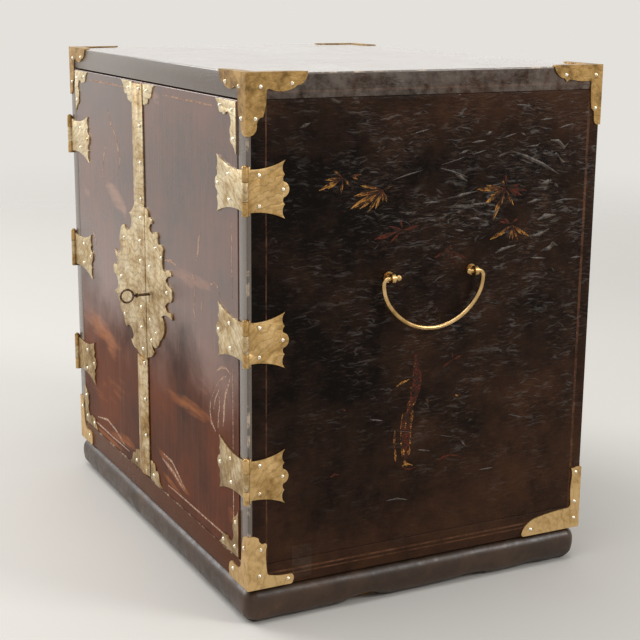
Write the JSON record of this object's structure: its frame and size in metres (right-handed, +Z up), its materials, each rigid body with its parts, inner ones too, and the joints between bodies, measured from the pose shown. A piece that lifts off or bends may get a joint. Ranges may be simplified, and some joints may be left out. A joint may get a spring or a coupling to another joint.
{
  "type": "jewelry cabinet",
  "caption": "Lacquered table cabinet for jewellery: strap-hinged doors with leafy brass lock plates and a key, drop handles at the sides, and ring-pull drawers behind the doors.",
  "frame": {"origin": "middle of the footprint of the case, on the surface that the plinth stands on", "axes": "+X to the viewer's right along the front, +Y from the front to the back, +Z up; the doors face -Y"},
  "size_m": [0.452, 0.3468, 0.431],
  "materials": {
    "lacquer_case": "aged gloss lacquer with fine cracks and faint gold painting",
    "lacquer_doors": "red-brown lacquer, worn and glossy",
    "lacquer_drawers": "dark red lacquer",
    "bare_wood": "oiled softwood",
    "brass_fittings": "aged brass with engraved lines",
    "brass_nails": "rubbed bright nail heads",
    "iron_lock": "dark forged iron"
  },
  "bodies": {
    "case": {"case_top": "lacquer_case", "case_bottom": "lacquer_case", "left_side": "lacquer_case", "right_side": "lacquer_case", "back_panel": "lacquer_case", "centre_divider": "bare_wood", "side_linings": "bare_wood", "dust_boards": "bare_wood", "door_stops": "bare_wood", "base_frame": "bare_wood", "plinth_moulding": "lacquer_case", "case_corner_mounts": "brass_fittings", "side_hinge_leaves": "brass_fittings", "hinge_pins": "brass_fittings", "case_nails": "brass_nails", "handle_eyes": "brass_fittings"},
    "right_door": {"right_door": "lacquer_doors", "right_door_leaves": "brass_fittings", "right_door_mounts": "brass_fittings", "right_lock_plate": "brass_fittings", "right_door_nails": "brass_nails", "lock_case": "iron_lock"},
    "left_door": {"left_door": "lacquer_doors", "left_door_leaves": "brass_fittings", "left_door_mounts": "brass_fittings", "left_lock_plate": "brass_fittings", "left_door_nails": "brass_nails", "closing_strap": "brass_fittings", "lock_keeper": "iron_lock", "slide_bolt_staples": "brass_fittings"},
    "key": {"key": "iron_lock"},
    "lock_bolt": {"lock_bolt": "iron_lock"},
    "top_bolt": {"top_slide_bolt": "brass_fittings"},
    "bottom_bolt": {"bottom_slide_bolt": "brass_fittings"},
    "left_handle": {"left_handle": "brass_fittings"},
    "right_handle": {"right_handle": "brass_fittings"},
    "left_low_drawer": {"left_low_drawer_front": "lacquer_drawers", "left_low_drawer_box": "bare_wood", "left_low_drawer_pull": "brass_fittings"},
    "left_low_drawer_ring": {"left_low_drawer_ring": "brass_fittings"},
    "left_middle_drawer": {"left_middle_drawer_front": "lacquer_drawers", "left_middle_drawer_box": "bare_wood", "left_middle_drawer_pull": "brass_fittings"},
    "left_middle_drawer_ring": {"left_middle_drawer_ring": "brass_fittings"},
    "left_top_drawer": {"left_top_drawer_front": "lacquer_drawers", "left_top_drawer_box": "bare_wood", "left_top_drawer_pull": "brass_fittings"},
    "left_top_drawer_ring": {"left_top_drawer_ring": "brass_fittings"},
    "right_low_drawer": {"right_low_drawer_front": "lacquer_drawers", "right_low_drawer_box": "bare_wood", "right_low_drawer_pull": "brass_fittings"},
    "right_low_drawer_ring": {"right_low_drawer_ring": "brass_fittings"},
    "right_middle_drawer": {"right_middle_drawer_front": "lacquer_drawers", "right_middle_drawer_box": "bare_wood", "right_middle_drawer_pull": "brass_fittings"},
    "right_middle_drawer_ring": {"right_middle_drawer_ring": "brass_fittings"},
    "right_top_drawer": {"right_top_drawer_front": "lacquer_drawers", "right_top_drawer_box": "bare_wood", "right_top_drawer_pull": "brass_fittings"},
    "right_top_drawer_ring": {"right_top_drawer_ring": "brass_fittings"}
  },
  "joints": [
    {"name": "right_door_hinge", "type": "hinge", "parent": "case", "child": "right_door", "pos_m": [0.217, -0.16, 0.23], "axis": [0, 0, 1], "range_deg": [0, 240]},
    {"name": "left_door_hinge", "type": "hinge", "parent": "case", "child": "left_door", "pos_m": [-0.217, -0.16, 0.23], "axis": [0, 0, -1], "range_deg": [0, 240]},
    {"name": "right_handle_lift", "type": "hinge", "parent": "case", "child": "right_handle", "pos_m": [0.222, 0, 0.271], "axis": [0, -1, 0], "range_deg": [0, 100]},
    {"name": "left_handle_lift", "type": "hinge", "parent": "case", "child": "left_handle", "pos_m": [-0.222, 0, 0.271], "axis": [0, 1, 0], "range_deg": [0, 100]},
    {"name": "key_turn", "type": "hinge", "parent": "right_door", "child": "key", "pos_m": [0.004, -0.158, 0.226], "axis": [0, -1, 0], "range_deg": [0, 90]},
    {"name": "lock_bolt_slide", "type": "slide", "parent": "right_door", "child": "lock_bolt", "axis": [-1, 0, 0], "range_m": [0, 0.0078]},
    {"name": "top_bolt_slide", "type": "slide", "parent": "left_door", "child": "top_bolt", "axis": [0, 0, 1], "range_m": [0, 0.012]},
    {"name": "bottom_bolt_slide", "type": "slide", "parent": "left_door", "child": "bottom_bolt", "axis": [0, 0, -1], "range_m": [0, 0.012]},
    {"name": "left_low_drawer_slide", "type": "slide", "parent": "case", "child": "left_low_drawer", "axis": [0, -1, 0], "range_m": [0, 0.168]},
    {"name": "left_low_drawer_ring_lift", "type": "hinge", "parent": "left_low_drawer", "child": "left_low_drawer_ring", "pos_m": [-0.1005, -0.1269, 0.1259], "axis": [-1, 0, 0], "range_deg": [0, 100]},
    {"name": "left_middle_drawer_slide", "type": "slide", "parent": "case", "child": "left_middle_drawer", "axis": [0, -1, 0], "range_m": [0, 0.168]},
    {"name": "left_middle_drawer_ring_lift", "type": "hinge", "parent": "left_middle_drawer", "child": "left_middle_drawer_ring", "pos_m": [-0.1005, -0.1269, 0.2604], "axis": [-1, 0, 0], "range_deg": [0, 100]},
    {"name": "left_top_drawer_slide", "type": "slide", "parent": "case", "child": "left_top_drawer", "axis": [0, -1, 0], "range_m": [0, 0.168]},
    {"name": "left_top_drawer_ring_lift", "type": "hinge", "parent": "left_top_drawer", "child": "left_top_drawer_ring", "pos_m": [-0.1005, -0.1269, 0.3684], "axis": [-1, 0, 0], "range_deg": [0, 100]},
    {"name": "right_low_drawer_slide", "type": "slide", "parent": "case", "child": "right_low_drawer", "axis": [0, -1, 0], "range_m": [0, 0.168]},
    {"name": "right_low_drawer_ring_lift", "type": "hinge", "parent": "right_low_drawer", "child": "right_low_drawer_ring", "pos_m": [0.0965, -0.1269, 0.1259], "axis": [-1, 0, 0], "range_deg": [0, 100]},
    {"name": "right_middle_drawer_slide", "type": "slide", "parent": "case", "child": "right_middle_drawer", "axis": [0, -1, 0], "range_m": [0, 0.168]},
    {"name": "right_middle_drawer_ring_lift", "type": "hinge", "parent": "right_middle_drawer", "child": "right_middle_drawer_ring", "pos_m": [0.0965, -0.1269, 0.2604], "axis": [-1, 0, 0], "range_deg": [0, 100]},
    {"name": "right_top_drawer_slide", "type": "slide", "parent": "case", "child": "right_top_drawer", "axis": [0, -1, 0], "range_m": [0, 0.168]},
    {"name": "right_top_drawer_ring_lift", "type": "hinge", "parent": "right_top_drawer", "child": "right_top_drawer_ring", "pos_m": [0.0965, -0.1269, 0.3684], "axis": [-1, 0, 0], "range_deg": [0, 100]}
  ],
  "couplings": [
    {"joint": "key_turn", "follows": "lock_bolt_slide", "rad_per_m": 200},
    {"joint": "left_low_drawer_slide", "follows": "left_door_hinge", "m_per_rad": 0.04},
    {"joint": "left_middle_drawer_slide", "follows": "left_door_hinge", "m_per_rad": 0.04},
    {"joint": "left_top_drawer_slide", "follows": "left_door_hinge", "m_per_rad": 0.04},
    {"joint": "right_low_drawer_slide", "follows": "right_door_hinge", "m_per_rad": 0.04},
    {"joint": "right_middle_drawer_slide", "follows": "right_door_hinge", "m_per_rad": 0.04},
    {"joint": "right_top_drawer_slide", "follows": "right_door_hinge", "m_per_rad": 0.04}
  ]
}
